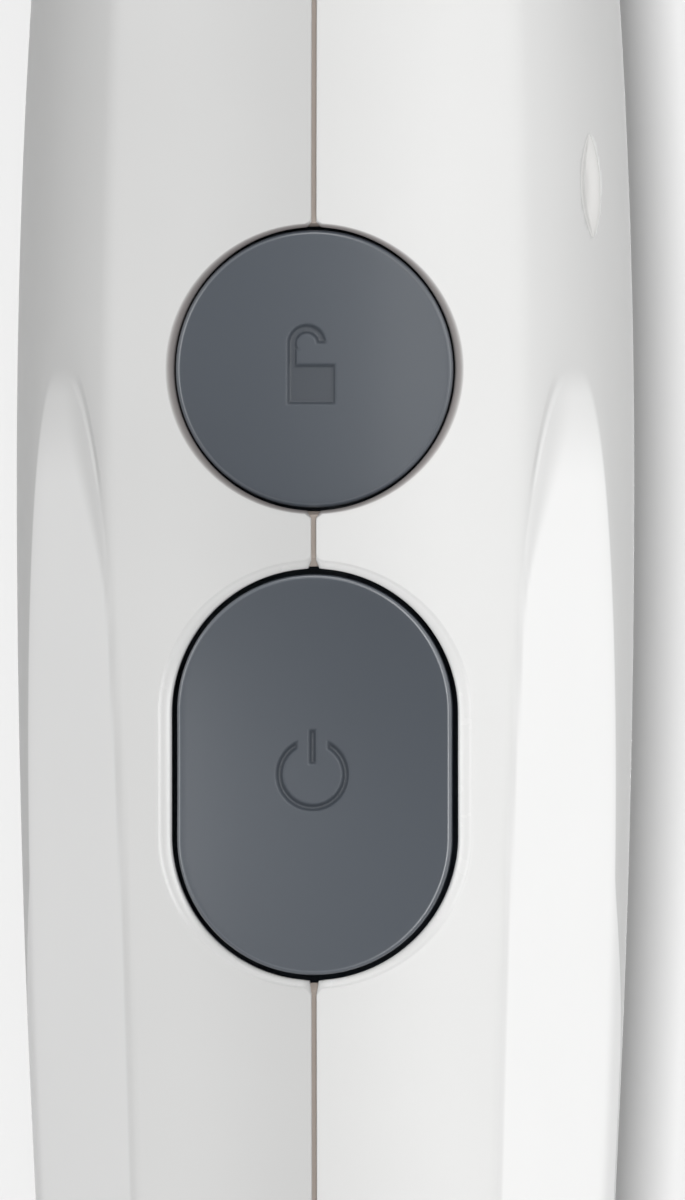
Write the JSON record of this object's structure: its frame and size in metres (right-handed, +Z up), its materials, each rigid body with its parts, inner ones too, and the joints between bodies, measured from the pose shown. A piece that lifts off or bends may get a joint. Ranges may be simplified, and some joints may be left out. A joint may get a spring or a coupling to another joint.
{
  "type": "hand mixer",
  "caption": "Cordless stick hand mixer: white two-shell grip with unlock and power buttons, battery and motor inside, and a lift-off steel mixing shaft with a bell guard over its blade.",
  "frame": {"origin": "middle of the blade guard's rim, on the surface that the mixer stands on", "axes": "+Z up along the mixing shaft, -Y out of the front panel with the buttons, +X to the user's right when they face the buttons"},
  "size_m": [0.0652, 0.0652, 0.4098],
  "materials": {
    "white_plastic": "gloss, moulded",
    "grey_plastic": "satin, moulded",
    "black_plastic": "matt, moulded",
    "natural_plastic": "matt, unpainted nylon",
    "stainless": "brushed",
    "trim_steel": "satin",
    "plated_steel": "zinc plated",
    "rubber": "matt",
    "bronze": "sintered bronze",
    "lens_plastic": "clear, frosted inside",
    "led_resin": "cast resin",
    "circuit_board": "solder resist on glass laminate",
    "cell_wrap": null,
    "magnet": "sintered ferrite",
    "winding": "enamelled copper on a steel core",
    "copper": "turned copper",
    "carbon": "pressed carbon"
  },
  "bodies": {
    "mixing_shaft": {"shaft_collar": "white_plastic", "collar_gasket": "rubber", "shaft_tube": "stainless", "blade_guard": "stainless", "upper_bush": "bronze", "lower_bush": "bronze", "shaft_seal": "rubber"},
    "blade": {"drive_shaft": "plated_steel", "driven_coupling": "natural_plastic", "thrust_washer": "plated_steel", "blade": "stainless", "blade_nut": "stainless"},
    "unlock": {"unlock_button": "grey_plastic"},
    "power": {"power_button": "grey_plastic"},
    "left_release": {"left_release_button": "grey_plastic"},
    "right_release": {"right_release_button": "grey_plastic"},
    "rotor": {"motor_shaft": "plated_steel", "armature": "winding", "commutator": "copper", "drive_coupling": "natural_plastic"},
    "handle": {"left_shell": "white_plastic", "right_shell": "white_plastic", "top_cap": "white_plastic", "lower_ring": "trim_steel", "shaft_socket": "black_plastic", "latch_cover": "black_plastic", "latch_screws": "plated_steel", "left_release_spring": "plated_steel", "right_release_spring": "plated_steel", "unlock_spring": "plated_steel", "power_spring": "plated_steel", "button_bracket": "black_plastic", "control_board": "circuit_board", "board_screws": "plated_steel", "unlock_switch": "black_plastic", "power_switch": "black_plastic", "indicator_lens": "lens_plastic", "indicator_led": "led_resin", "indicator_board": "circuit_board", "charge_jack": "black_plastic", "jack_nut": "plated_steel", "battery_cells": "cell_wrap", "battery_cradle": "black_plastic", "battery_tabs": "plated_steel", "motor_can": "plated_steel", "motor_magnets": "magnet", "motor_end_cap": "black_plastic", "motor_brushes": "carbon", "motor_bushes": "bronze", "motor_plate": "plated_steel", "motor_screws": "plated_steel", "vibration_ring": "rubber"}
  },
  "joints": [
    {"name": "handle_lift", "type": "slide", "parent": "mixing_shaft", "child": "handle", "axis": [0, 0, 1], "range_m": [0, 0.06]},
    {"name": "unlock_press", "type": "slide", "parent": "handle", "child": "unlock", "axis": [0, 1, 0], "range_m": [0, 0.0015], "stiffness_N_per_m": 500, "springref_m": -0.003, "deforming": ["unlock_spring"]},
    {"name": "power_press", "type": "slide", "parent": "handle", "child": "power", "axis": [0, 1, 0], "range_m": [0, 0.002], "stiffness_N_per_m": 500, "springref_m": -0.003, "deforming": ["power_spring"]},
    {"name": "left_release_press", "type": "slide", "parent": "handle", "child": "left_release", "axis": [1, 0, 0], "range_m": [0, 0.0016], "stiffness_N_per_m": 800, "springref_m": -0.003, "deforming": ["left_release_spring"]},
    {"name": "right_release_press", "type": "slide", "parent": "handle", "child": "right_release", "axis": [-1, 0, 0], "range_m": [0, 0.0016], "stiffness_N_per_m": 800, "springref_m": -0.003, "deforming": ["right_release_spring"]},
    {"name": "motor_spin", "type": "hinge", "parent": "handle", "child": "rotor", "pos_m": [0, 0, 0.25], "axis": [0, 0, 1], "continuous": true},
    {"name": "blade_spin", "type": "hinge", "parent": "mixing_shaft", "child": "blade", "pos_m": [0, 0, 0.1], "axis": [0, 0, 1], "continuous": true}
  ],
  "couplings": [
    {"joint": "blade_spin", "follows": "motor_spin", "ratio": 1}
  ]
}
